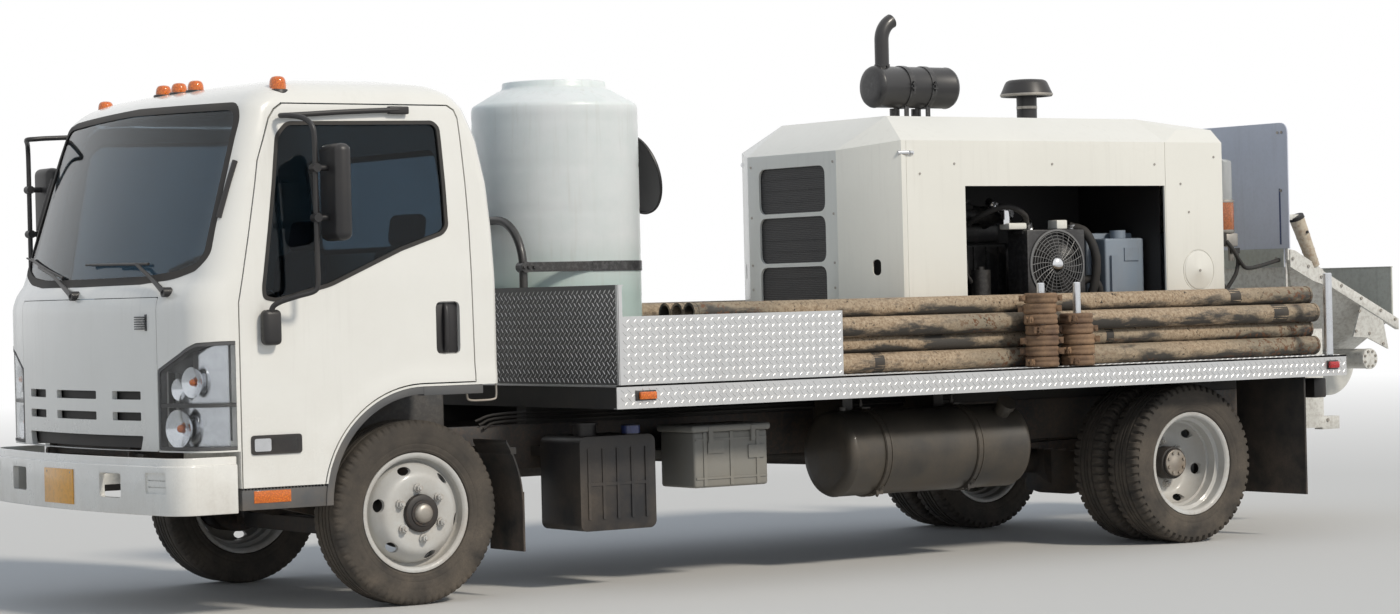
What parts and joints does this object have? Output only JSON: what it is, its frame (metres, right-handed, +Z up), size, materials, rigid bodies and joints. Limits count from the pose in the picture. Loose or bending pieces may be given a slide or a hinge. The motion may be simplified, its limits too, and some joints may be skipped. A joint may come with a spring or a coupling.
{
  "type": "concrete pump truck",
  "caption": "Cab-over flatbed lorry with a hooded skid concrete pump, rear hopper, upright water tank, tread-plate deck and racks of delivery line.",
  "frame": {"origin": "on the ground, under the middle of the whole machine's box", "axes": "+X forward along the truck, +Y to its left, +Z up"},
  "size_m": [7.786, 2.545, 2.7463],
  "materials": {
    "cab_white": "gloss",
    "hood_white": "gloss",
    "wheel_white": "satin",
    "chassis_black": "satin",
    "satin_black": "satin",
    "tank_black": "satin",
    "engine_grey": "satin",
    "bare_steel": "worn",
    "rusty_steel": "rusty",
    "aluminium": "tread plate",
    "grey_plastic": "matte",
    "black_plastic": "matte",
    "amber_plastic": "gloss",
    "tank_plastic": "satin",
    "red_lens": "gloss",
    "lamp_clear": "gloss",
    "window_glass": "polished",
    "seat_cloth": "woven",
    "rubber_black": "matte",
    "line_rubber": "caked with dried concrete",
    "tyre": "worn"
  },
  "bodies": {
    "chassis": {"frame_rails": "chassis_black", "front_axle": "chassis_black", "rear_axle": "chassis_black", "leaf_springs": "chassis_black", "power_unit": "engine_grey", "drive_shaft": "engine_grey", "fuel_tank": "tank_black", "battery_box": "grey_plastic", "fluid_tank": "black_plastic", "mudguards": "rubber_black", "bumper": "cab_white", "deck": "aluminium", "tread_panels": "aluminium", "stakes": "aluminium", "delivery_lines": "line_rubber", "couplings": "rusty_steel", "water_tank": "tank_plastic", "tank_hoop": "satin_black", "tank_lid": "black_plastic", "hood": "hood_white", "hood_grilles": "black_plastic", "pump_skid": "hood_white", "pump_engine": "engine_grey", "muffler": "satin_black", "air_intake": "black_plastic", "grease_unit": "amber_plastic", "splash_guard": "grey_plastic", "hopper": "hood_white", "outlet": "bare_steel", "tail_lamps": "red_lens", "cooler": "satin_black"},
    "cab": {"cab_shell": "cab_white", "front_panel": "cab_white", "cab_glass": "window_glass", "cab_lamps": "lamp_clear", "arch_trim": "grey_plastic", "seats": "seat_cloth", "dashboard": "grey_plastic"},
    "door_l": {"door_left": "cab_white", "door_glass_left": "window_glass", "mirror_left": "black_plastic"},
    "door_r": {"door_right": "cab_white", "door_glass_right": "window_glass", "mirror_right": "black_plastic"},
    "agitator": {"agitator": "bare_steel"},
    "hopper_grate": {"hopper_grate": "bare_steel"},
    "cooler_fan": {"cooler_fan": "black_plastic"},
    "steer_l": {"knuckle_left": "chassis_black"},
    "steer_r": {"knuckle_right": "chassis_black"},
    "tie_rod": {"tie_rod": "chassis_black"},
    "wheel_fl": {"tyre_front_left": "tyre", "rim_front_left": "wheel_white"},
    "wheel_fr": {"tyre_front_right": "tyre", "rim_front_right": "wheel_white"},
    "wheel_rl": {"tyres_rear_left": "tyre", "rims_rear_left": "wheel_white"},
    "wheel_rr": {"tyres_rear_right": "tyre", "rims_rear_right": "wheel_white"}
  },
  "joints": [
    {"name": "cab_tilt", "type": "hinge", "parent": "chassis", "child": "cab", "pos_m": [3.712, 0, 0.69], "axis": [0, 1, 0], "range_deg": [0, 45]},
    {"name": "door_left_swing", "type": "hinge", "parent": "cab", "child": "door_l", "pos_m": [3.511, 1.02, 1], "axis": [0, 0, -1], "range_deg": [0, 70]},
    {"name": "door_right_swing", "type": "hinge", "parent": "cab", "child": "door_r", "pos_m": [3.511, -1.02, 1], "axis": [0, 0, 1], "range_deg": [0, 70]},
    {"name": "steer_left", "type": "hinge", "parent": "chassis", "child": "steer_l", "pos_m": [2.627, 0.7105, 0.405], "axis": [0, 0, 1], "range_deg": [-35, 35]},
    {"name": "steer_right", "type": "hinge", "parent": "chassis", "child": "steer_r", "pos_m": [2.627, -0.7105, 0.405], "axis": [0, 0, 1], "range_deg": [-35, 35]},
    {"name": "tie_rod_end", "type": "hinge", "parent": "steer_l", "child": "tie_rod", "pos_m": [2.457, 0.7205, 0.31], "axis": [0, 0, 1], "range_deg": [-35, 35]},
    {"name": "wheel_front_left", "type": "hinge", "parent": "steer_l", "child": "wheel_fl", "pos_m": [2.627, 0.8325, 0.405], "axis": [0, 1, 0], "continuous": true},
    {"name": "wheel_front_right", "type": "hinge", "parent": "steer_r", "child": "wheel_fr", "pos_m": [2.627, -0.8325, 0.405], "axis": [0, 1, 0], "continuous": true},
    {"name": "wheels_rear_left", "type": "hinge", "parent": "chassis", "child": "wheel_rl", "pos_m": [-1.843, 0.825, 0.405], "axis": [0, 1, 0], "continuous": true},
    {"name": "wheels_rear_right", "type": "hinge", "parent": "chassis", "child": "wheel_rr", "pos_m": [-1.843, -0.825, 0.405], "axis": [0, 1, 0], "continuous": true},
    {"name": "agitator_turn", "type": "hinge", "parent": "chassis", "child": "agitator", "pos_m": [-3.591, 0, 0.885], "axis": [0, 1, 0], "continuous": true},
    {"name": "fan_turn", "type": "hinge", "parent": "chassis", "child": "cooler_fan", "pos_m": [-1.393, 0.53, 1.438], "axis": [0, 1, 0], "continuous": true},
    {"name": "grate_lift", "type": "hinge", "parent": "chassis", "child": "hopper_grate", "pos_m": [-3.073, 0, 1.44], "axis": [0, 1, 0], "range_deg": [0, 80]}
  ],
  "couplings": [
    {"joint": "steer_right", "follows": "steer_left", "ratio": 1},
    {"joint": "tie_rod_end", "follows": "steer_left", "ratio": -1}
  ]
}
